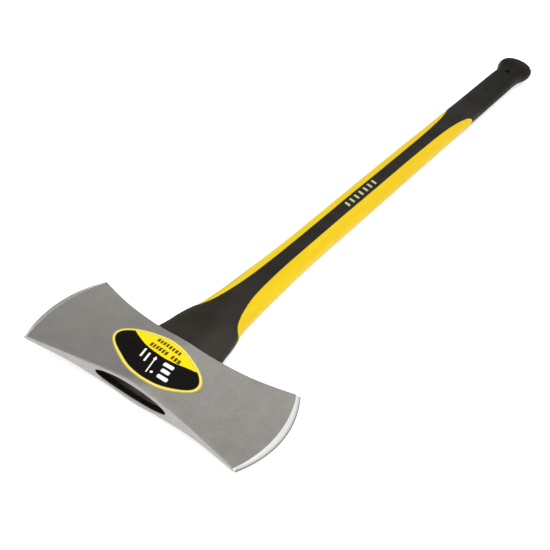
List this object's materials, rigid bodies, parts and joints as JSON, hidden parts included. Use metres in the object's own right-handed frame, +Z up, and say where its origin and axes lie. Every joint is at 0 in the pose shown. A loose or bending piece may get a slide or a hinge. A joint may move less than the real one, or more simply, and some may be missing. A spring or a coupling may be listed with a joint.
{
  "type": "double-bit axe",
  "caption": "Double-bit felling axe: forged head with bowed bits and an oval eye, bonded to a straight fibreglass-cored handle with yellow panels and a black rubber grip.",
  "frame": {"origin": "on the surface that the axe lies on, below the middle of its bounding box", "axes": "+X from one cutting edge to the other, +Y along the handle from the head to the butt, +Z up through the cheeks"},
  "size_m": [0.2622, 0.8978, 0.031],
  "materials": {
    "steel": "satin, blasted, with bright ground bevels",
    "resin": "cast, semi-gloss",
    "seal": "soft foam",
    "glass_fibre": "pultruded, matte",
    "yellow": "satin moulded",
    "black_rubber": "fine moulded texture",
    "decal": "printed vinyl"
  },
  "bodies": {
    "root": {"axe_head": "steel", "eye_resin": "resin", "eye_seal": "seal", "core_rod": "glass_fibre", "handle_jacket": "yellow", "overmould": "black_rubber", "head_label": "decal"}
  },
  "joints": []
}
